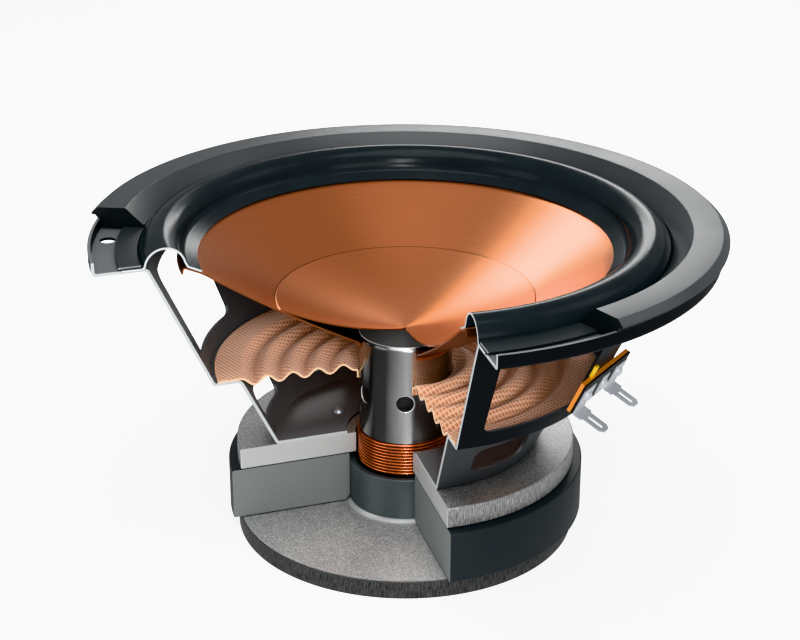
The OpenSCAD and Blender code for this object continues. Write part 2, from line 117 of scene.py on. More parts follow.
# Area lamps: name, place, width and height, radiance, colour, and the group they light
LAMPS = (
    ("back_softbox", (0.14, 1.0, 0.48), (0.44, 0.17), 6.8, (1, 1, 1), "all_but_copper"),
    ("right_softbox", (1.1, 0.25, 1.25), (0.7, 0.7), 1.6, (1, 1, 1), "all_but_copper"),
    ("left_strip", (-0.54, 0.88, 0.78), (0.26, 0.62), 22.0, (1, 0.99, 0.76), "only_copper"),
    ("cap_strip", (0.12, 1.0, 0.78), (0.2, 0.24), 2.2, (1, 0.98, 0.82), "only_cap"),
    ("front_key", (0.03, -1.15, 0.86), (0.10, 0.6), 34.0, (1, 0.99, 0.98), "all_but_copper"),
    ("spider_fill", (0.5, -1.15, 0.55), (0.4, 0.4), 18.0, (1, 1, 1), "only_spider"),
    ("former_fill", (-0.4, -1.0, 1.0), (0.9, 0.6), 2.8, (1, 1, 1), "only_former"),
    ("front_fill", (0.55, -1.3, 0.5), (0.8, 0.6), 3.2, (1, 1, 1), None),
    ("top_softbox", (-0.1, -0.1, 1.5), (1.0, 1.0), 3.6, (1, 1, 1), "all_but_copper"),
    ("top_copper", (-0.1, -0.1, 1.5), (1.0, 1.0), 0.35, (1, 1, 1), "only_copper"),
    ("side_fill", (-1.3, -0.7, 0.5), (0.8, 0.7), 2.2, (0.97, 0.985, 1), None),
)
LAMP_TARGET = (0, 0, 0.09)
WORLD_COLOUR, WORLD_LEVEL = (0.97, 0.985, 1, 1), 0.48
FLOOR_HALF, FLOOR_GLOW = 4.0, 0.85


# ---- sizes and colours

def length(name, description, value):
    """A length in metres."""
    return FloatProperty(name=name, description=description, default=value, unit="LENGTH", precision=5)


def azimuth(name, description, degrees):
    """An azimuth, kept in radians."""
    return FloatProperty(name=name, description=description, default=math.radians(degrees),
                         subtype="ANGLE")


def count(name, description, value, low, high):
    return IntProperty(name=name, description=description, default=value, min=low, max=high)


def colour(name, description, value):
    return FloatVectorProperty(name=name, description=description, default=value, min=0, max=1,
                               subtype="COLOR")


class SPEAKER_PG_section(bpy.types.PropertyGroup):
    """Where the section planes stand."""
    left: azimuth("Left Face", "Azimuth of the left cut face", -71)
    right: azimuth("Right Face", "Azimuth of the right cut face", 15.5)
    left_offset: length("Left Offset", "Distance of the left cut face from the axis", -4 * MM)
    right_offset: length("Right Offset", "Distance of the right cut face from the axis", -2.5 * MM)
    cone_left: azimuth("Cone Left Edge", "Azimuth of the cone's left cut edge", -72.5)
    cone_right: azimuth("Cone Right Edge", "Azimuth of the cone's right cut edge", 14)
    ring_left: azimuth("Ring Left End", "Azimuth of the trim ring's left end", -95.8)
    ring_right: azimuth("Ring Right End", "Azimuth of the trim ring's right end", 36.2)


class SPEAKER_PG_suspension(bpy.types.PropertyGroup):
    """Sizes of the cone, surround and spider."""
    cone_sheet: length("Cone Sheet", "Thickness of the cone's sheet", 0.7 * MM)
    cone_sag: length("Cone Sag", "How far the cone's side sags below a straight line", 1.5 * MM)
    flat_width: length("Cone Flat", "Width of the cone's flat edge under the surround", 7.2 * MM)
    flat_rise: length("Flat Rise", "Rise of the cone's flat edge", 3 * MM)
    lip_drop: length("Cone Lip", "Height of the cone's turned-down edge", 2.6 * MM)
    cap_sheet: length("Cap Sheet", "Thickness of the dust cap", 0.6 * MM)
    cap_depth: length("Cap Depth", "Depth of the dust cap's dish", 15.4 * MM)
    cap_point: FloatProperty(name="Cap Point", description="How conical the dust cap's middle is",
                             default=0.2, min=0, max=1)
    rubber: length("Rubber", "Thickness of the surround's rubber", RUBBER_SHEET)
    roll_radius: length("Roll Radius", "Radius of the surround's half roll", 8.2 * MM)
    roll_gap: length("Roll Gap", "Gap between the roll and the trim ring's foot", 1 * MM)
    cloth: length("Cloth", "Thickness of the spider's cloth", 0.7 * MM)
    waves: count("Waves", "Whole corrugations in the spider", 4, 2, 8)
    wave_height: length("Wave Height", "Height of the corrugations", 3.2 * MM)
    shelf_width: length("Shelf Width", "Width of the spider's flat edge on its shelf", 10.05 * MM)
    collar: length("Collar", "Height of the spider's collar on the former", 3.6 * MM)


class SPEAKER_PG_coil(bpy.types.PropertyGroup):
    """Sizes of the former and its winding."""
    wall: length("Former Wall", "Wall of the former", 0.35 * MM)
    turns: count("Turns", "Turns of wire", 10, 4, 40)
    wire_height: length("Wire Height", "Height of the wire's section", 1.02 * MM)
    vents: count("Vents", "Vent holes round the former", 6, 3, 12)
    vent_diameter: length("Vent Diameter", "Diameter of each vent", 7.3 * MM)
    vent_height: length("Vent Height", "Height of the vents above the top plate", 21.1 * MM)


class SPEAKER_PG_finish(bpy.types.PropertyGroup):
    """Colours of the finishes, as linear values."""
    copper: colour("Copper", "Anodised cone and cap", (0.66, 0.215, 0.088))
    # painted shade for the faces of the cone and cap that look down
    copper_painted_under_shade: colour("Copper Underside", "Bare underside of the cone and cap", (0.14, 0.036, 0.014))
    basket: colour("Basket", "Basket paint", (0.009, 0.010, 0.011))
    # painted light: the paler tone on the basket's faces that look up and on its bowl
    bowl: colour("Bowl", "Paint inside the basket and on its bowl", (0.14, 0.145, 0.15))
    cut_basket: colour("Cut Basket", "Sectioned sheet of the basket", (0.50, 0.52, 0.53))
    ring: colour("Ring", "Trim ring paint", (0.045, 0.05, 0.052))
    cut_ring: colour("Cut Ring", "Sectioned trim ring", (0.016, 0.018, 0.018))
    rubber: colour("Rubber", "Surround rubber", (0.018, 0.022, 0.024))
    cut_rubber: colour("Cut Rubber", "Sectioned surround", (0.52, 0.54, 0.55))
    gasket: colour("Gasket", "Clamp gasket", (0.03, 0.035, 0.036))
    cut_gasket: colour("Cut Gasket", "Sectioned gasket", (0.42, 0.43, 0.43))
    zinc: colour("Zinc", "Plated steel", (0.66, 0.665, 0.66))
    cut_steel: colour("Cut Steel", "Smooth sectioned steel", (0.48, 0.485, 0.48))
    steel: colour("Steel", "Turned pole piece", (0.35, 0.36, 0.37))
    slate: colour("Slate", "Centring sleeve", (0.085, 0.098, 0.102))
    rivet: colour("Rivet", "Rivets in the basket's seat", (0.42, 0.43, 0.45))
    glue: colour("Glue", "Glue layers", (0.012, 0.012, 0.013))
    bead: colour("Bead", "Bead round the sleeve's foot", (0.42, 0.43, 0.42))
    ferrite: colour("Ferrite", "Magnet coating", (0.022, 0.026, 0.028))
    cut_ferrite: colour("Cut Ferrite", "Sectioned magnet", (0.17, 0.184, 0.18))
    cloth: colour("Cloth", "Raised threads of the spider", (1.0, 0.54, 0.36))
    cloth_pit: colour("Cloth Pits", "Pits between the threads", (0.60, 0.25, 0.125))
    # painted shade low in the spider's corrugations
    cloth_painted_fold_shade: colour("Cloth Folds", "Deep folds of the spider", (0.30, 0.11, 0.05))
    cut_cloth: colour("Cut Cloth", "Sectioned spider", (0.86, 0.56, 0.34))
    foil_edge: colour("Foil Edge", "Rim of the former", (0.86, 0.86, 0.85))
    # painted light: the inside of the same foil, given its own grey tone
    bore_painted_light: colour("Foil Bore", "Inside of the former", (0.34, 0.34, 0.335))
    wire: colour("Wire", "Enamelled winding wire", (0.62, 0.125, 0.045))
    # painted shade: dark band under the winding, seen between the turns
    wire_gap_shade: colour("Wire Band", "Dark band under the winding", (0.05, 0.010, 0.006))
    phenolic: colour("Phenolic", "Terminal board", (0.72, 0.24, 0.025))
    board_face: colour("Board Face", "Dark face of the terminal board", (0.012, 0.012, 0.013))
    tin: colour("Tin", "Tinned lugs", (0.60, 0.62, 0.65))
    lead: colour("Lead", "Sleeve on the lead", (0.78, 0.50, 0.02))
    floor: colour("Floor", "Studio floor", (0.86, 0.86, 0.86))


class SPEAKER_PG_camera(bpy.types.PropertyGroup):
    """Where the camera stands and how long its lens is."""
    place: FloatVectorProperty(name="Place", description="Camera position",
                               default=(-0.0006, -0.7208, 0.4020), subtype="TRANSLATION", unit="LENGTH")
    tilt: azimuth("Tilt", "Angle below the horizon", 23.333)
    turn: azimuth("Turn", "Turn to the left", 0.131)
    lens: FloatProperty(name="Lens", description="Focal length in millimetres", default=84.7, min=20)


def settings(name):
    return getattr(bpy.context.scene, "speaker_" + name)


# ---- section planes

class Cut:
    """Two upright planes, left and right, that take a wedge out of the front."""

    def __init__(self, left, right, left_offset=0.0, right_offset=0.0):
        self.left, self.right = left, right
        self.left_offset, self.right_offset = left_offset, right_offset

    def first(self, r):
        """Azimuth at which a circle of radius r leaves the right plane."""
        return self.right + np.arcsin(np.clip(self.right_offset / np.maximum(r, 1e-6), -1, 1))

    def last(self, r):
        """Azimuth, a turn further on, at which it reaches the left plane."""
        return self.left + 2 * math.pi + np.arcsin(np.clip(self.left_offset / np.maximum(r, 1e-6), -1, 1))


def main_cut():
    s = settings("section")
    return Cut(s.left, s.right, s.left_offset, s.right_offset)


def cone_cut():
    s = settings("section")
    return Cut(s.cone_left, s.cone_right, CONE_LEFT_OFFSET, CONE_RIGHT_OFFSET)


def ring_cut():
    s = settings("section")
    return Cut(s.ring_left, s.ring_right)


# ---- outlines

def rounded(points, radius, steps=4):
    """A closed outline whose corners are arcs. An arc's centre lies on the corner's bisector at
    radius / sin(half angle), and the radius is kept under what the shorter side allows."""
    points = np.asarray(points, float)
    radii = np.broadcast_to(radius, len(points))
    made = []
    for corner, before, after, r in zip(points, np.roll(points, 1, 0), np.roll(points, -1, 0), radii):
        a, b = before - corner, after - corner
        la, lb = np.linalg.norm(a), np.linalg.norm(b)
        a, b = a / la, b / lb
        half = math.acos(np.clip(a @ b, -1, 1)) / 2
        r = min(r, 0.45 * min(la, lb) * math.tan(half))
        if r < 1e-6 or abs(half - math.pi / 2) < 1e-3:
            made.append(corner[None])
            continue
        bisector = (a + b) / np.linalg.norm(a + b)
        centre = corner + bisector * r / math.sin(half)
        start, end = corner + a * r / math.tan(half) - centre, corner + b * r / math.tan(half) - centre
        first = math.atan2(start[1], start[0])
        turn = (math.atan2(end[1], end[0]) - first + math.pi) % (2 * math.pi) - math.pi
        angles = first + turn * np.linspace(0, 1, steps + 1)
        made.append(centre + r * np.stack([np.cos(angles), np.sin(angles)], 1))
    return np.concatenate(made)


def band(inner, outer, low, high):
    """Corners of a flat ring's section, from the low inner one."""
    return [(inner, low), (outer, low), (outer, high), (inner, high)]


def strip(path, thickness):
    """Closed outline of a sheet: the path moved half a thickness to each side along its normals."""
    path = np.asarray(path, float)
    along = np.gradient(path, axis=0)
    along /= np.linalg.norm(along, axis=1)[:, None]
    normal = np.stack([-along[:, 1], along[:, 0]], 1) * thickness / 2
    return np.concatenate([path + normal, (path - normal)[::-1]])


def arc(centre, radius, start, end, steps):
    """Points on a circle between two angles in degrees, counted from the +r axis."""
    angles = np.radians(np.linspace(start, end, steps))
    return np.asarray(centre) + radius * np.stack([np.cos(angles), np.sin(angles)], 1)


# ---- meshes

def new_piece(name, points, faces, material, uv=None, sharp=35):
    """A piece from arrays of points and faces, merged, with its faces turned outwards."""
    mesh = bpy.data.meshes.new(name)
    mesh.from_pydata(points.tolist(), [], faces)
    if uv is not None:
        layer = mesh.uv_layers.new(name="wrap")
        corners = np.empty(len(mesh.loops), np.int32)
        mesh.loops.foreach_get("vertex_index", corners)
        layer.data.foreach_set("uv", uv[corners].astype(np.float32).ravel())
    bm = bmesh.new()
    bm.from_mesh(mesh)
    bmesh.ops.remove_doubles(bm, verts=bm.verts, dist=1e-6)
    bmesh.ops.dissolve_degenerate(bm, edges=bm.edges, dist=1e-7)
    bmesh.ops.recalc_face_normals(bm, faces=bm.faces)
    bm.to_mesh(mesh)
    bm.free()
    return finish_piece(name, mesh, material, sharp)


def finish_piece(name, mesh, material, sharp=35):
    """Smooth shading with sharp edges kept, and the material."""
    mesh.shade_smooth()
    mesh.set_sharp_from_angle(angle=math.radians(sharp))
    mesh.materials.clear()
    mesh.materials.append(material)
    piece = bpy.data.objects.new(name, mesh)
    bpy.context.scene.collection.objects.link(piece)
    return piece


def grid_faces(rows, columns, close_rows=False, close_columns=False):
    """Quads of a grid of points stored row by row."""
    i = np.arange(rows if close_rows else rows - 1)
    j = np.arange(columns if close_columns else columns - 1)
    i, j = np.meshgrid(i, j, indexing="ij")
    k, m = (i + 1) % rows, (j + 1) % columns
    quads = np.stack([i * columns + j, i * columns + m, k * columns + m, k * columns + j], -1)
    return quads.reshape(-1, 4).tolist()


def turned(name, outline, material, cut=None, steps=240, sharp=35):
    """A closed outline (r, z) carried round the axis: x = r sin(azimuth), y = -r cos(azimuth). With a cut,
    each point's azimuths run between the two section planes, and both ends are closed flat."""
    outline = np.asarray(outline, float)
    r, z = outline[:, 0], outline[:, 1]
    if cut is None:
        turn = np.linspace(0, 2 * math.pi, steps, endpoint=False)[:, None] + 0 * r
    else:
        v = np.linspace(0, 1, steps)[:, None]
        turn = cut.first(r) * (1 - v) + cut.last(r) * v
    points = np.stack([r * np.sin(turn), -r * np.cos(turn), np.broadcast_to(z, turn.shape)], -1)
    walk = np.concatenate([[0], np.cumsum(np.linalg.norm(np.diff(outline, axis=0), axis=1))])
    uv = np.stack([turn * r.max(), np.broadcast_to(walk, turn.shape)], -1).reshape(-1, 2)
    faces = grid_faces(steps, len(outline), close_rows=cut is None, close_columns=True)
    if cut is not None:
        ends = tessellate_polygon([[Vector((a, b, 0)) for a, b in outline]])
        last = (steps - 1) * len(outline)
        faces += [list(t) for t in ends] + [[last + i for i in t] for t in ends]
    return new_piece(name, points.reshape(-1, 3), faces, material, uv, sharp)


def bevel(piece, width, segments=2, angle=40):
    """A small round on the piece's sharp edges."""
    modifier = piece.modifiers.new("Edges", "BEVEL")
    modifier.width = width
    modifier.segments = segments
    modifier.limit_method = "ANGLE"
    modifier.angle_limit = math.radians(angle)
    modifier.harden_normals = True
    return piece


def refined(name, node, material, width, sharp=35, angle=40):
    """A merged copy of a CAD node with flat faces joined and its edges rounded."""
    bm = bmesh.new()
    bm.from_mesh(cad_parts[node].data)
    bmesh.ops.remove_doubles(bm, verts=bm.verts, dist=2e-6)
    bmesh.ops.dissolve_limit(bm, angle_limit=math.radians(0.4), verts=bm.verts, edges=bm.edges)
    mesh = bpy.data.meshes.new(name)
    bm.to_mesh(mesh)
    bm.free()
    piece = finish_piece(name, mesh, material, sharp)
    if width:
        bevel(piece, width, angle=angle)
    return piece


def fit(piece, body, node):
    """Rides on a body and stands for a node, whose CAD piece it hides."""
    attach(piece, body)
    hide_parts(node)
    return piece


def fit_turned(node, suffix, outline, radii, material, cut=None, steps=240, arc_steps=4, edges=0):
    """A turned piece of the frame with rounded corners. Radii and edge bevels are in millimetres."""
    outline = rounded(outline, np.asarray(radii) * MM, arc_steps)
    piece = turned(node + suffix, outline, material, cut, steps)
    if edges:
        bevel(piece, edges * MM)
    return fit(piece, "frame", node)


def stretch(piece, node, outer, inner):
    """Bakes a soft ring's place into its mesh and hides the CAD node it stands for. The share that would
    follow the cone, falling smoothly from 1 at the inner radius to 0 at the outer one, is worked out but
    not used."""
    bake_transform(piece)
    co = np.empty(len(piece.data.vertices) * 3, np.float32)
    piece.data.vertices.foreach_get("co", co)
    r = np.hypot(*co.reshape(-1, 3)[:, :2].T)
    t = np.clip((outer - r) / (outer - inner), 0, 1)
    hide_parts(node)
    return piece


# ---- shader maths

def infix(operation, swap=False):
    """A method that joins two values by a maths node, the other way round if swapped."""
    def join(self, other):
        return self.maths(operation, other, swap=swap)
    return join


class Socket:
    """Wraps a node socket, so that shader maths reads as an expression."""

    def __init__(self, finish, socket):
        self.finish, self.socket = finish, socket

    def maths(self, operation, *others, swap=False):
        values = [self, *others]
        if swap:
            values.reverse()
        return self.finish.node("ShaderNodeMath", {"operation": operation}, values)[0]

    __add__ = __radd__ = infix("ADD")
    __sub__, __rsub__ = infix("SUBTRACT"), infix("SUBTRACT", swap=True)
    __mul__, __truediv__, __pow__ = infix("MULTIPLY"), infix("DIVIDE"), infix("POWER")
    __lt__, __gt__ = infix("LESS_THAN"), infix("GREATER_THAN")

    def __abs__(self):
        return self.maths("ABSOLUTE")

    def clamp(self):
        return self.finish.node("ShaderNodeClamp", {}, [self, 0.0, 1.0])[0]


def toned(base, *shares):
    """A colour times a share, or a share for each channel, kept at 1 or less."""
    return tuple(min(1, v * k) for v, k in zip(base, shares * 3 if len(shares) == 1 else shares))


class Finish:
    """A material under construction, with its Principled shader."""

    def __init__(self, name, **inputs):
        self.material = bpy.data.materials.new(name)
        self.material.use_nodes = True
        self.tree = self.material.node_tree
        self.shader = self.tree.nodes["Principled BSDF"]
        self.set(**inputs)

    def node(self, kind, options=None, values=None):
        """Adds a node: options are its settings, set first, and values fill its inputs, by place or by
        name. Returns its outputs."""
        made = self.tree.nodes.new(kind)
        for key, value in (options or {}).items():
            if key == "stops":
                elements = made.color_ramp.elements
                elements.remove(elements[1])
                elements[0].position, elements[0].color = value[0]
                for place, shade in value[1:]:
                    elements.new(place).color = shade
            else:
                setattr(made, key, value)
        values = dict(enumerate(values)) if isinstance(values, (list, tuple)) else values or {}
        for key, value in values.items():
            if isinstance(value, Socket):
                self.tree.links.new(value.socket, made.inputs[key])
            elif value is not None:
                made.inputs[key].default_value = value
        return [Socket(self, s) for s in made.outputs if s.enabled]

    def set(self, **inputs):
        """Links or sets inputs of the Principled shader, and returns the material."""
        for key, value in inputs.items():
            target = self.shader.inputs[key.replace("_", " ").title().replace("Ior", "IOR")]
            if isinstance(value, Socket):
                self.tree.links.new(value.socket, target)
            else:
                target.default_value = value
        return self.material

    def place(self):
        """Object coordinates as a vector."""
        return self.node("ShaderNodeTexCoord")[3]

    def axes(self):
        """x, y and z of the object coordinates."""
        return self.node("ShaderNodeSeparateXYZ", {}, [self.place()])

    def facing(self):
        """How far the surface looks up, from -1 to 1."""
        return self.node("ShaderNodeSeparateXYZ", {}, [self.node("ShaderNodeTexCoord")[1]])[2]

    def radius(self):
        """Distance from the axis."""
        x, y, _ = self.axes()
        return (x * x + y * y) ** 0.5

    def vector(self, x, y, z):
        return self.node("ShaderNodeCombineXYZ", {}, [x, y, z])[0]

    def noise(self, scale, detail=2.0, roughness=0.5, over=None):
        """Noise from 0 to 1 over a vector, or over the object coordinates."""
        values = {"Vector": over or self.place(), "Scale": scale, "Detail": detail, "Roughness": roughness}
        return self.node("ShaderNodeTexNoise", {}, values)[0]

    def mix(self, factor, a, b):
        """Colour between a and b."""
        a, b = (end if isinstance(end, Socket) else (*end, 1) for end in (a, b))
        return self.node("ShaderNodeMix", {"data_type": "RGBA"}, {0: factor, 6: a, 7: b})[0]

    def shades(self, factor, base, low, high):
        """Colour between two tones of one base."""
        return self.mix(factor, toned(base, low), toned(base, high))

    def ramp(self, value, low, high):
        """0 under low, 1 over high, and smooth between them."""
        return self.node("ShaderNodeMapRange", {"interpolation_type": "SMOOTHSTEP"},
                         {"Value": value, "From Min": low, "From Max": high})[0]

    def bump(self, height, distance):
        """Normal from a height of 0 to 1 that stands for a distance."""
        return self.node("ShaderNodeBump", {}, {"Strength": 1.0, "Distance": distance, "Height": height})[0]

    def section(self, cut, depth=0.12 * MM):
        """1 on the two section faces of a cut, and 0 elsewhere."""
        x, y, _ = self.axes()
        mask = None
        for turn, offset in ((cut.left, cut.left_offset), (cut.right, cut.right_offset)):
            away = abs(x * math.cos(turn) + y * math.sin(turn) - offset) < depth
            ahead = (x * math.sin(turn) - y * math.cos(turn)) > 0
            mask = away * ahead if mask is None else mask + away * ahead
        return mask.clamp()


# ---- finishes

def copper():
    """Anodised aluminium, turned on a lathe: fine rings, slight mottling, a dark glue line at the cap's
    edge, and painted shade on the faces that look down."""
    c = settings("finish")
    f = Finish("copper_anodised", metallic=1.0, anisotropic=0.72, anisotropic_rotation=0.25,
               coat_weight=0.45, coat_roughness=0.34, coat_ior=1.7)
    r = f.radius()
    rings = f.noise(1150.0, 4.0, 0.8, f.vector(r, 0.0, 0.0))
    grain = f.noise(2600.0, 2.0, 0.6)
    cloud = f.noise(26.0, 2.0)
    tone = ((rings - 0.5) * 1.3 + (grain - 0.5) * 0.40 + (cloud - 0.5) * 0.20 + 0.5).clamp()
    body = f.shades(tone, c.copper, 0.78, 1.24)
    seam = abs(r - (CAP_R + 0.12 * MM)) < 0.22 * MM
    lined = f.mix(seam, body, toned(c.copper, 0.30))
    # painted shade: faces that look down take the dark underside colour
    under_shaded = f.mix(1 - f.ramp(f.facing(), -0.25, -0.05), lined, c.copper_painted_under_shade)
    edge = f.section(cone_cut(), 0.10 * MM)
    return f.set(base_color=f.mix(edge, under_shaded, toned(c.copper, 0.62)),
                 roughness=0.36 + (rings - 0.5) * 0.16 + (grain - 0.5) * 0.08,
                 normal=f.bump(rings * 0.7 + grain * 0.3, 0.010 * MM))


def rubber():
    """Satin moulded rubber with a fine skin and a pale sectioned edge."""
    c = settings("finish")
    f = Finish("surround_rubber", specular_ior_level=0.12)
    skin = f.noise(3000.0, 3.0)
    cloud = f.noise(60.0)
    body = f.shades(cloud, c.rubber, 0.8, 1.5)
    return f.set(base_color=f.mix(f.section(cone_cut()), body, c.cut_rubber),
                 roughness=0.20 + (skin - 0.5) * 0.10, normal=f.bump(skin, 0.012 * MM))


def painted(name, base, cut, edge, roughness, gloss=0.4, inner=None, bowl_z=0.0):
    """Satin powder coat: fine orange peel, cloudy gloss, and a bare section face. The inner tone is painted
    light:
    it lies on the faces that look up, and partly on the bowl below a height."""
    f = Finish(name, specular_ior_level=gloss)
    peel = f.noise(1300.0, 2.0)
    speck = f.noise(5200.0, 2.0)
    cloud = f.noise(34.0)
    fleck = cloud * 0.6 + speck * 0.4
    body = f.shades(fleck, base, 0.82, 1.25)
    # painted light: the inner tone on faces that look up and on the bowl
    if inner:
        bowl = 1 - f.ramp(f.axes()[2], bowl_z - 0.3 * MM, bowl_z + 0.3 * MM)
        painted_top_light = f.shades(fleck, inner, 0.85, 1.2)
        body = f.mix((f.ramp(f.facing(), 0.05, 0.4) + bowl * 0.32).clamp(), body, painted_top_light)
    bare = f.shades(f.noise(2400.0, 3.0), edge, 0.8, 1)
    return f.set(base_color=f.mix(f.section(cut), body, bare),
                 roughness=roughness + (cloud - 0.5) * 0.10 + (speck - 0.5) * 0.08,
                 normal=f.bump(peel * 0.6 + speck * 0.4, 0.02 * MM))


def zinc(name, radius, rim_painted_light, flat_painted_light, cut=None):
    """Plated steel: fine sparkling grain on the flats, upright drawing marks on the rim, smooth section
    faces. The rim and flat tones paint each plate's light and shade into the one zinc."""
    c = settings("finish")
    f = Finish(name)
    x, y, z = f.axes()
    rim = f.radius() > radius - 0.4 * MM
    cells = f.node("ShaderNodeTexVoronoi", {}, {"Vector": f.place(), "Scale": 2700.0})[1]
    cell = f.node("ShaderNodeSeparateColor", {}, [cells])[0]
    grain = f.noise(2600.0, 3.0, 0.7)
    cloud = f.noise(70.0)
    around = x.maths("ARCTAN2", y) * radius
    marks = f.noise(2600.0, 3.0, 0.75, f.vector(around, 0.0, z * 0.10))
    flats = cell * 0.45 + grain * 0.4 + cloud * 0.15
    on_flat, on_rim = f.ramp(flats, 0.24, 0.76), f.ramp(marks * 0.75 + grain * 0.25, 0.36, 0.64)
    tone = on_flat * (1 - rim) + on_rim * rim
    # painted light and shade: the one zinc takes its own flat and rim tone on each plate
    flat_steel = f.shades(tone, c.zinc, flat_painted_light * 0.62, flat_painted_light * 1.25)
    sparkle = f.ramp(cell, 0.90, 0.97) * (1 - rim)
    glints = f.mix(sparkle * 0.4, flat_steel, (0.95, 0.95, 0.95))
    tint = f.mix(rim, glints, f.shades(tone, c.zinc, rim_painted_light * 0.35, rim_painted_light * 1.7))
    metal = 0.85 - rim * 0.35
    if cut:
        section = f.section(cut)
        tint = f.mix(section, tint, f.shades(grain, c.cut_steel, 0.93, 1.05))
        metal = metal - section * 0.5
    return f.set(base_color=tint, metallic=metal, roughness=0.46 + (cell - 0.5) * 0.20,
                 normal=f.bump(flats * (1 - rim) + marks * rim, 0.035 * MM))


def ferrite():
    """Charcoal magnet coating with a faint grain, and a grey-green ground section."""
    c = settings("finish")
    f = Finish("ferrite", specular_ior_level=0.3)
    grain = f.noise(1700.0, 3.0, 0.6)
    cloud = f.noise(40.0)
    body = f.shades(grain * 0.5 + cloud * 0.5, c.ferrite, 0.7, 1.5)
    ground = f.shades(grain, c.cut_ferrite, 0.9, 1.08)
    section = f.section(main_cut())
    return f.set(base_color=f.mix(section, body, ground),
                 roughness=0.42 + (grain - 0.5) * 0.16 + section * 0.12, normal=f.bump(grain, 0.02 * MM))


def plain(name, base, roughness, metallic=0.0, grain=1500.0, depth=0.02 * MM, spread=0.25, **more):
    """A moulded or machined finish with fine grain in its colour, gloss and surface."""
    f = Finish(name, metallic=metallic, **more)
    fine = f.noise(grain, 3.0)
    cloud = f.noise(90.0)
    body = f.shades(fine * 0.5 + cloud * 0.5, base, 1 - spread, 1 + spread)
    return f.set(base_color=body, roughness=roughness + (fine - 0.5) * 0.12, normal=f.bump(fine, depth))


def weave():
    """Woven cloth: threads that cross on a flat grid, with brown pits between them, and painted shade low
    in the corrugations. The sine of the distance across the grid is 0 along a thread, and a pit lies where
    the product of both is high."""
    c = settings("finish")
    f = Finish("spider_cloth", specular_ior_level=0.3, sheen_weight=0.25, sheen_roughness=0.5)
    x, y, z = f.axes()
    pitch = 1.75 * MM
    turn = math.radians(38)
    wobble = (f.noise(90.0) - 0.5) * 0.5
    u = (x * math.cos(turn) + y * math.sin(turn)) / pitch + wobble
    v = (y * math.cos(turn) - x * math.sin(turn)) / pitch + wobble
    warp, weft = (abs((share * math.pi).maths("SINE")) for share in (u, v))
    pit = f.ramp(warp * weft, 0.26, 0.70)
    # painted shade: the cloth darkens low in each corrugation
    valley_painted_shade = 1 - f.ramp(z, SPIDER_Z1 - 3.4 * MM, SPIDER_Z1 - 1.2 * MM)
    thread = f.noise(5200.0, 3.0)
    woven = f.mix(pit, f.shades(thread, c.cloth, 0.86, 1.12), c.cloth_pit)
    fold_shaded = f.mix(valley_painted_shade * 0.28, woven, c.cloth_painted_fold_shade)
    section = f.section(main_cut(), 0.25 * MM)
    return f.set(base_color=f.mix(section, fold_shaded, c.cut_cloth), roughness=0.72 + (thread - 0.5) * 0.2,
                 normal=f.bump((1 - pit) * 0.8 + thread * 0.2, 0.22 * MM))


def foil():
    """Aluminium foil of the former, polished round its axis, with broad upright bands of painted reflection
    round its wall, and fine marks that turn darker towards the top."""
    f = Finish("former_aluminium", metallic=1.0, anisotropic=0.6, anisotropic_rotation=0.25)
    x, y, z = f.axes()
    angle = x.maths("ARCTAN2", y * -1.0)
    around = angle * FORMER_R
    lines = f.noise(1400.0, 3.0, 0.7, f.vector(around, 0.0, z * 0.03))
    cloud = f.noise(70.0)
    wander = (f.noise(110.0, over=f.vector(around, 0.0, z * 0.3)) - 0.5) * 0.03
    stops = [(place, (tone, tone, tone * 0.99, 1)) for place, tone in FOIL_PAINTED_REFLECTIONS]
    # painted reflection: the foil's tone is set by the turn round the axis
    bands = f.node("ShaderNodeValToRGB", {"stops": stops}, [angle / (2 * math.pi) + 0.5 + wander])[0]
    fade = 1 - f.ramp(z, FORMER_Z1 - 30 * MM, FORMER_Z1) * 0.5
    marks = f.mix((lines * 0.6 + cloud * 0.4) * fade, (0.62, 0.62, 0.62), (1.0, 1.0, 1.0))
    body = f.node("ShaderNodeMix", {"data_type": "RGBA", "blend_type": "MULTIPLY"},
                  {0: 1.0, 6: bands, 7: marks})[0]
    return f.set(base_color=body, roughness=0.22 + (cloud - 0.5) * 0.10 + (lines - 0.5) * 0.08,
                 normal=f.bump(lines, 0.004 * MM))


def enamelled_wire(low, high, turns):
    """Enamelled copper wire. Each turn has a painted highlight along its upper side and painted dark red
    shade below:
    the place across a turn is the height above the climbing middle line, as a share of the pitch."""
    c = settings("finish")
    f = Finish("copper_wire", metallic=1.0, coat_weight=0.35, coat_roughness=0.12)
    x, y, z = f.axes()
    angle = x.maths("ARCTAN2", y * -1.0)
    climb = (z - low) / ((high - low) / turns) - angle / (2 * math.pi) + 1.0
    across = climb.maths("FRACT") - 0.5
    along = f.noise(330.0, 3.0, 0.6, f.vector(angle * COIL_R, 0.0, z * 0.6))
    fine = f.noise(3000.0, 2.0)
    # painted highlight and shade across each turn
    painted_turn_light = f.ramp(across + (along - 0.5) * 0.30, -0.20, 0.24)
    body = f.mix(painted_turn_light, toned(c.wire, 0.24), toned(c.wire, 1.4, 1.9, 1.9))
    return f.set(base_color=body, roughness=0.22 + (fine - 0.5) * 0.1, normal=f.bump(fine, 0.01 * MM))


# ---- operators

class Build:
    """Shared by the operators: each adds its own pieces."""
    bl_options = {"REGISTER", "UNDO"}

    def execute(self, context):
        self.build()
        return {"FINISHED"}


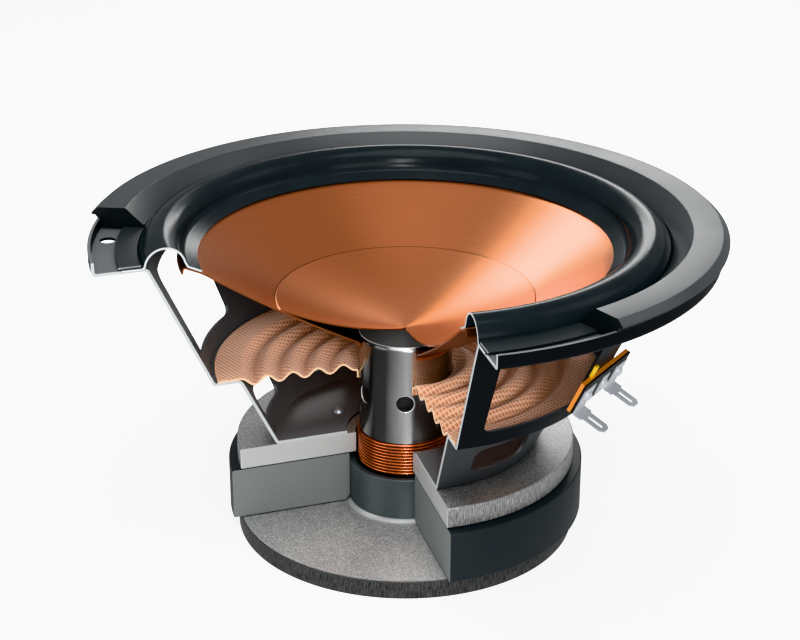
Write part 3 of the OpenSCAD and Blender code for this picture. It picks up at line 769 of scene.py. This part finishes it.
class SPEAKER_OT_back_plate(Build, bpy.types.Operator):
    """Back plate and the pole piece that stands on it"""
    bl_idname = "speaker.back_plate"
    bl_label = "Back Plate and Pole"

    def build(self):
        c = settings("finish")
        # painted shade: the back plate's rim tone is set far darker than the top plate's
        fit_turned("back_plate", "_turned", band(0, BACK_R, BACK_Z0, BACK_Z1), [0, 0.9, 0.5, 0],
                   zinc("zinc_back_plate", BACK_R, 0.11, 0.94))
        r, low, high = reach("pole_piece")
        fit_turned("pole_piece", "_turned", band(0, r, low, high), [0, 0, 1.2, 0],
                   plain("turned_steel", c.steel, 0.34, 1.0), steps=128)


class SPEAKER_OT_magnet(Build, bpy.types.Operator):
    """Magnet and the glue layers above and below it"""
    bl_idname = "speaker.magnet"
    bl_label = "Magnet and Glue"

    def build(self):
        bore = SLEEVE_R + GLUE_JOINT
        foot = BEAD_R - SLEEVE_R + 0.4 * MM  # bevel that clears the bead
        edge = [(bore, MAGNET_Z0 + foot), (bore + foot, MAGNET_Z0), (MAGNET_R, MAGNET_Z0),
                (MAGNET_R, MAGNET_Z1), (bore, MAGNET_Z1)]
        fit_turned("magnet", "_ring", edge, [0.1, 0.1, 0.5, 0.5, 0.3], ferrite(), main_cut(),
                   edges=0.1)
        glue = plain("glue", settings("finish").glue, 0.5)
        for node in ("lower_glue_layer", "upper_glue_layer"):
            r, low, high = reach(node)
            fit_turned(node, "_bead", band(SLEEVE_R + GLUE_SETBACK, r, low, high), 0.15, glue,
                       main_cut(), arc_steps=2)


class SPEAKER_OT_top_plate(Build, bpy.types.Operator):
    """Top plate round the magnetic gap"""
    bl_idname = "speaker.top_plate"
    bl_label = "Top Plate"

    def build(self):
        # painted shade: the top plate's flats are set darker than the back plate's
        fit_turned("top_plate", "_turned", band(COIL_R + COIL_GAP, PLATE_R, PLATE_Z0, PLATE_Z1),
                   [0.3, 0.6, 0.7, 0.3], zinc("zinc_top_plate", PLATE_R, 0.42, 0.80, main_cut()),
                   main_cut(), edges=0.15)


class SPEAKER_OT_sleeve(Build, bpy.types.Operator):
    """Centring sleeve inside the magnet, with the bead at its foot"""
    bl_idname = "speaker.sleeve"
    bl_label = "Centring Sleeve"

    def build(self):
        c = settings("finish")
        fit_turned("centring_sleeve", "_turned", band(COIL_R + SLEEVE_GAP, SLEEVE_R, SLEEVE_Z0, SLEEVE_Z1),
                   [0, 0, 0.5, 0.3], plain("dark_steel", c.slate, 0.36, 0.4), steps=160)
        hollow = arc((BEAD_R, BEAD_Z1), BEAD_Z1 - BEAD_Z0, 270, 180, 8)
        edge = np.concatenate([[(SLEEVE_R, BEAD_Z0)], hollow])
        glue = plain("bead_glue", c.bead, 0.4, 0.3, 2400.0, 0.08 * MM, 0.6)
        fit(turned("sleeve_bead_ring", edge, glue, steps=160), "frame", "sleeve_bead")


class SPEAKER_OT_basket(Build, bpy.types.Operator):
    """Pressed steel basket and the rivets in its seat"""
    bl_idname = "speaker.basket"
    bl_label = "Basket and Rivets"

    def build(self):
        c = settings("finish")
        # the bowl colour is painted light on the faces that look up
        paint = painted("basket_paint", c.basket, main_cut(), c.cut_basket, 0.36, 0.14, c.bowl,
                        SPIDER_Z1 - 2.6 * MM)
        fit(refined("basket_pressing", "basket", paint, 0.22 * MM, 25, 30), "frame", "basket")
        steel = plain("rivet_steel", c.rivet, 0.34, 0.7)
        fit(refined("seat_rivet_heads", "seat_rivets", steel, 0), "frame", "seat_rivets")


class SPEAKER_OT_trim_ring(Build, bpy.types.Operator):
    """Trim ring and the gasket it clamps"""
    bl_idname = "speaker.trim_ring"
    bl_label = "Trim Ring and Gasket"

    def build(self):
        c = settings("finish")
        inner, foot, top = RING_BORE_R, RING_Z0, RING_Z1
        lip = FLANGE_R - 1.3 * MM  # inside of the basket's lip
        slope, shoulder, chamfer, side = 7.5 * MM, 2.7 * MM, 1.6 * MM, 2.4 * MM
        edge = [(inner, foot), (lip - 0.4 * MM, foot), (lip - 0.4 * MM, LIP_Z),
                (FLANGE_R - 0.5 * MM, LIP_Z), (RING_R - chamfer, LIP_Z + chamfer),
                (RING_R, top - 3 * MM), (RING_R, top - side), (RING_R - shoulder, top),
                (inner + slope, top), (inner, foot + 0.8 * MM)]
        rounds = [0.3, 0.3, 0.2, 0.2, 0.3, 0.25, 0.25, 0.7, 0.9, 0.4]
        paint = painted("trim_paint", c.ring, ring_cut(), c.cut_ring, 0.34)
        fit_turned("trim_ring", "_moulding", edge, rounds, paint, ring_cut(), 300, edges=0.25)
        foam = painted("gasket_rubber", c.gasket, main_cut(), c.cut_gasket, 0.5)
        fit_turned("clamp_gasket", "_ring", band(inner, GASKET_R, GASKET_Z0, GASKET_Z1), 0.15, foam,
                   main_cut(), arc_steps=2)


def cone_height(r):
    """Height of the cone's side: a straight rise from the neck to the flat edge, with a parabolic sag."""
    s = settings("suspension")
    neck = CONE_Z0 + CONE_NECK
    rim = FLANGE_TOP_Z - CONE_EDGE_DROP - s.flat_rise
    t = (r - FORMER_R) / (cone_flat_radius() - FORMER_R)
    return neck + (rim - neck) * t - s.cone_sag * 4 * t * (1 - t)


def cone_flat_radius():
    return cone_edge_radius() - settings("suspension").flat_width


def cone_edge_radius():
    return roll_middle() - settings("suspension").roll_radius + 0.8 * MM


def roll_middle():
    s = settings("suspension")
    return RING_BORE_R - s.roll_radius - s.roll_gap


class SPEAKER_OT_surround(Build, bpy.types.Operator):
    """Rubber surround: glued flange, half roll, clamped edge"""
    bl_idname = "speaker.surround"
    bl_label = "Surround"

    def build(self):
        s = settings("suspension")
        t = s.rubber
        middle, level = roll_middle(), FLANGE_TOP_Z
        lift = (s.cone_sheet + t) / 2 + GLUE_JOINT
        inner = np.array([cone_flat_radius(), cone_height(cone_flat_radius()) + lift])
        foot = np.array([middle - s.roll_radius, level - CONE_EDGE_DROP + lift])
        flat = np.linspace(inner, foot, 8)
        roll = arc((middle, level), s.roll_radius, 168, 8, 40)
        outer = middle + s.roll_radius
        clamped = np.linspace((outer + 0.9 * MM, level + t / 2), (SURROUND_R, level + t / 2), 6)
        path = np.concatenate([flat[:-1], roll, clamped])
        piece = turned("surround_roll", strip(path, t), rubber(), cone_cut(), 280, 60)
        stretch(piece, "surround", outer, middle - s.roll_radius - 0.6 * MM)


class SPEAKER_OT_cone(Build, bpy.types.Operator):
    """Metal cone with its neck, flat edge and turned-down lip"""
    bl_idname = "speaker.cone"
    bl_label = "Cone"

    def build(self):
        s = settings("suspension")
        flat, edge = cone_flat_radius(), cone_edge_radius()
        rim = cone_height(flat) + s.flat_rise
        half = s.cone_sheet / 2
        side_r = np.linspace(FORMER_R + 1.3 * MM, flat - 1.2 * MM, 40)
        side = np.stack([side_r, cone_height(side_r)], 1)
        neck = [(FORMER_R + half, CONE_Z0), (FORMER_R + half, CONE_Z0 + 1.4 * MM),
                (FORMER_R + half + 0.3 * MM, CONE_Z0 + 2.1 * MM)]
        bend = [(flat + 1.2 * MM, cone_height(flat) + 0.5 * MM), (edge - 0.8 * MM, rim - 0.2 * MM),
                (edge - 0.1 * MM, rim - 0.1 * MM), (edge + 0.4 * MM, rim - 0.7 * MM),
                (edge + 0.7 * MM, rim - s.lip_drop)]
        path = np.concatenate([neck, side, bend])
        piece = turned("cone_spun", strip(path, s.cone_sheet), copper(), cone_cut(), 280, 40)
        fit(piece, "cone_assembly", "cone")


class SPEAKER_OT_dust_cap(Build, bpy.types.Operator):
    """Dished dust cap with a slightly conical middle"""
    bl_idname = "speaker.dust_cap"
    bl_label = "Dust Cap"

    def build(self):
        s = settings("suspension")
        rim = cone_height(CAP_R) + s.cone_sheet / 2 - 0.3 * MM
        share = np.linspace(0, 1, 48) ** 0.8
        fall = (1 - s.cap_point) * share ** 2 + s.cap_point * share
        top = np.stack([share * (CAP_R - 0.5 * MM), rim + s.cap_sheet - s.cap_depth * (1 - fall)], 1)
        edge = [(CAP_R - 0.15 * MM, rim + s.cap_sheet * 0.85), (CAP_R, rim + 0.1 * MM)]
        under = top[::-1] - (0, s.cap_sheet)
        outline = np.concatenate([top, edge, under])
        piece = turned("dust_cap_spun", outline, copper(), cone_cut(), 280, 40)
        fit(piece, "cone_assembly", "dust_cap")


class SPEAKER_OT_spider(Build, bpy.types.Operator):
    """Corrugated cloth spider with its collar"""
    bl_idname = "speaker.spider"
    bl_label = "Spider"

    def build(self):
        s = settings("suspension")
        t = s.cloth
        flat = SPIDER_R - s.shelf_width
        top = SPIDER_Z1 - t / 2
        inner = FORMER_R + GLUE_JOINT + t / 2
        start = inner + t
        pitch = (flat - start - t / 2) / (s.waves + 0.5)
        r = np.linspace(flat, start, 30 * s.waves)
        wave = np.stack([r, top - s.wave_height / 2 * (1 - np.cos((flat - r) / pitch * 2 * math.pi))], 1)
        low = wave[-1, 1]
        edge = np.linspace((SPIDER_R, top), (flat + 0.5 * MM, top), 12)
        collar = np.linspace((inner, low - 0.6 * MM), (inner, max(low - s.collar, SPIDER_Z0)), 5)
        path = np.concatenate([edge, wave, collar])
        piece = turned("spider_cloth_ring", strip(path, t), weave(), main_cut(), 280, 60)
        stretch(piece, "spider", flat, start)


def holed_tube(radius, z0, z1, vent_z, vent_r, vents, per_side=8):
    """Tube wall with round vents. Each vent has a square patch of wall: a point on it lies a share t of
    the way from the vent's circle out to the square, at the same step round both. Plain bands close the
    rest."""
    pitch = 2 * math.pi / vents
    half_w, half_h = pitch * radius / 2, vent_r * 1.7
    side = np.linspace(-1, 1, per_side + 1)[:-1]
    one = np.ones_like(side)
    sides = (side, -one), (one, side), (-side, one), (-one, -side)
    square = np.concatenate([np.stack(p, 1) for p in sides]) * (half_w, half_h)
    around = np.arctan2(square[:, 1] / half_h, square[:, 0] / half_w)
    circle = vent_r * np.stack([np.cos(around), np.sin(around)], 1)
    t = np.linspace(0, 1, 7)[:, None, None] ** 1.4
    patch = circle * (1 - t) + square * t
    rows, columns = patch.shape[:2]
    points, faces, base = [], [], 0
    for k in range(vents):
        turn = patch[..., 0] / radius + k * pitch
        points.append(np.stack([radius * np.sin(turn), -radius * np.cos(turn), vent_z + patch[..., 1]], -1))
        faces += [[base + i for i in q] for q in grid_faces(rows, columns, close_columns=True)]
        base += rows * columns
    turn = np.concatenate([(side * half_w / radius) + k * pitch for k in range(vents)])
    for low, high in ((z0, vent_z - half_h), (vent_z + half_h, z1)):
        z = np.linspace(low, high, 8)[:, None] + 0 * turn
        points.append(np.stack([radius * np.sin(turn) + 0 * z, -radius * np.cos(turn) + 0 * z, z], -1))
        faces += [[base + i for i in q] for q in grid_faces(8, len(turn), close_columns=True)]
        base += z.size
    return np.concatenate([p.reshape(-1, 3) for p in points]), faces


class SPEAKER_OT_former(Build, bpy.types.Operator):
    """Foil former with its vents"""
    bl_idname = "speaker.former"
    bl_label = "Former"

    def build(self):
        s = settings("coil")
        c = settings("finish")
        points, faces = holed_tube(FORMER_R, FORMER_Z0, FORMER_Z1, SEAT_Z + s.vent_height,
                                   s.vent_diameter / 2, s.vents)
        piece = new_piece("former_tube", points, faces, foil())
        wall = piece.modifiers.new("Wall", "SOLIDIFY")
        wall.thickness, wall.offset = s.wall, -1
        piece.data.materials.append(plain("former_edge", c.foil_edge, 0.3, 0.5))
        # painted light: the bore is the same foil, given a diffuse grey tone
        piece.data.materials.append(plain("former_bore_painted_light", c.bore_painted_light, 0.4, 0.3))
        wall.material_offset_rim, wall.material_offset = 1, 2
        fit(piece, "cone_assembly", "voice_coil_former")


def helix(radius, z0, z1, turns, half_r, half_z, per_turn=96, sides=10):
    """A wire of oval section wound on a cylinder from the back: its middle climbs steadily from z0 to z1,
    and its section stands upright in the plane through the axis."""
    s = np.linspace(0, 1, int(turns * per_turn) + 1)[:, None]
    turn = math.pi + 2 * math.pi * turns * s
    ring = np.linspace(0, 2 * math.pi, sides, endpoint=False)
    r = radius + half_r * np.cos(ring)
    z = z0 + (z1 - z0) * s + half_z * np.sin(ring)
    points = np.stack([r * np.sin(turn), -r * np.cos(turn), z], -1).reshape(-1, 3)
    last = len(points) - sides
    faces = grid_faces(len(s), sides, close_columns=True)
    return points, faces + [list(range(sides)), [last + i for i in range(sides)]]


class SPEAKER_OT_voice_coil(Build, bpy.types.Operator):
    """Winding wire over a thin dark band of painted shade between the turns"""
    bl_idname = "speaker.voice_coil"
    bl_label = "Voice Coil"

    def build(self):
        s = settings("coil")
        half_r, half_z = (COIL_R - FORMER_R) / 2, s.wire_height / 2
        low, high = COIL_Z0 + half_z, COIL_Z1 - half_z
        points, faces = helix(COIL_R - half_r, low, high, s.turns, half_r, half_z)
        wire = new_piece("voice_coil_winding", points, faces, enamelled_wire(low, high, s.turns), sharp=60)
        fit(wire, "cone_assembly", "voice_coil")
        # painted shade: a dark band on the former, seen in the gaps between turns
        outline = rounded(band(FORMER_R, FORMER_R + 0.5 * half_r, low, high), 0.1 * MM, 2)
        dark = plain("coil_gap_shade", settings("finish").wire_gap_shade, 0.35, 0.4)
        under = turned("voice_coil_gap_shade", outline, dark, steps=160)
        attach(under, "cone_assembly")


class SPEAKER_OT_terminals(Build, bpy.types.Operator):
    """Terminal board, its lugs, rivets and strap, and the lead sleeve"""
    bl_idname = "speaker.terminals"
    bl_label = "Terminals"

    def build(self):
        c = settings("finish")
        board = plain("phenolic", c.phenolic, 0.38, 0.0, 900.0, spread=0.18, coat_weight=0.3)
        face = plain("board_face", c.board_face, 0.4, specular_ior_level=0.25)
        tin = plain("tinned_metal", c.tin, 0.34, 0.5, 2600.0, 0.004 * MM, 0.08)
        sleeve = plain("yellow_sleeve", c.lead, 0.5, 0.0, 2400.0)
        small_parts = {"solder_lug_left": 0.12, "solder_lug_right": 0.12, "lug_rivets": 0,
                       "terminal_clip": 0.12, "terminal_rivet": 0}
        for slot, material, edges in (
                ("phenolic", board, {"terminal_board": 0.35}),
                ("board_face", face, {"terminal_face": 0.15}),
                ("tinned_metal", tin, small_parts), ("yellow_sleeve", sleeve, {"lead_sleeve": 0.2})):
            for node, width in edges.items():
                fit(refined(node + "_finished", node, material, width * MM), "frame", node)


class SPEAKER_OT_stage(Build, bpy.types.Operator):
    """Floor, lights, world and camera"""
    bl_idname = "speaker.stage"
    bl_label = "Stage"

    def build(self):
        self.floor()
        self.lights()
        self.camera()

    def floor(self):
        corners = np.array([(-1, -1, 0), (1, -1, 0), (1, 1, 0), (-1, 1, 0)]) * FLOOR_HALF
        f = Finish("studio_floor", roughness=0.75, specular_ior_level=0.2, emission_color=(1, 1, 1, 1),
                   emission_strength=FLOOR_GLOW)
        paper = f.set(base_color=f.shades(f.noise(3.0, 2.0), settings("finish").floor, 0.985, 1))
        floor = new_piece("studio_floor_sheet", corners, [[0, 1, 2, 3]], paper)
        floor.visible_glossy = False

    def lights(self):
        groups = {name: self.lit_group(name, *rule) for name, rule in LIT_GROUPS.items()}
        for name, place, size, radiance, shade, group in LAMPS:
            data = bpy.data.lights.new(name, "AREA")
            data.shape, data.size, data.size_y = "RECTANGLE", *size
            data.energy, data.color = radiance * math.pi * size[0] * size[1], shade
            lamp = bpy.data.objects.new(name, data)
            lamp.location = place
            aim = Vector(LAMP_TARGET) - Vector(place)
            lamp.rotation_euler = aim.to_track_quat("-Z", "Y").to_euler()
            if group:
                lamp.light_linking.receiver_collection = groups[group]
            if group == "only_former":  # which the cone would shade
                lamp.light_linking.blocker_collection = groups[group]
            bpy.context.scene.collection.objects.link(lamp)
        world = bpy.data.worlds.new("studio_world")
        world.use_nodes = True
        background = world.node_tree.nodes["Background"].inputs
        background["Color"].default_value, background["Strength"].default_value = WORLD_COLOUR, WORLD_LEVEL
        bpy.context.scene.world = world
        bpy.context.scene.view_settings.view_transform = "Khronos PBR Neutral"

    def lit_group(self, name, pieces, state):
        """A collection that lets a lamp light only these pieces, or all but these."""
        group = bpy.data.collections.new(name)
        for piece in pieces:
            group.objects.link(bpy.data.objects[piece])
        for member in group.collection_objects:
            member.light_linking.link_state = state
        return group

    def camera(self):
        c = settings("camera")
        data = bpy.data.cameras.new("main_camera")
        data.lens, data.sensor_width = c.lens, 36
        data.clip_start, data.clip_end = 0.01, 20
        camera = bpy.data.objects.new("main_camera", data)
        camera.location = c.place
        camera.rotation_euler = (math.pi / 2 - c.tilt, 0, c.turn)
        bpy.context.scene.collection.objects.link(camera)
        bpy.context.scene.camera = camera


PIECES = tuple(Build.__subclasses__())  # in the order they are written
GROUPS = {"section": SPEAKER_PG_section, "suspension": SPEAKER_PG_suspension, "coil": SPEAKER_PG_coil,
          "finish": SPEAKER_PG_finish, "camera": SPEAKER_PG_camera}


class SPEAKER_PT_panel(bpy.types.Panel):
    """Sizes, colours and one button for each group of pieces"""
    bl_idname = "SPEAKER_PT_panel"
    bl_label = "Cutaway Driver"
    bl_space_type = "VIEW_3D"
    bl_region_type = "UI"
    bl_category = "Speaker"

    def draw(self, context):
        for name, group in GROUPS.items():
            box = self.layout.box()
            box.label(text=name.title())
            for prop in group.__annotations__:
                box.prop(settings(name), prop)
        for piece in PIECES:
            self.layout.operator(piece.bl_idname)


def register():
    for c in (*GROUPS.values(), *PIECES, SPEAKER_PT_panel):
        bpy.utils.register_class(c)
    for name, group in GROUPS.items():
        setattr(bpy.types.Scene, "speaker_" + name, PointerProperty(type=group))


def unregister():
    for name in GROUPS:
        delattr(bpy.types.Scene, "speaker_" + name)
    for c in reversed((*GROUPS.values(), *PIECES, SPEAKER_PT_panel)):
        bpy.utils.unregister_class(c)


def main():
    register()
    for piece in PIECES:
        group, name = piece.bl_idname.split(".")
        getattr(getattr(bpy.ops, group), name)()


if __name__ == "__main__":
    main()
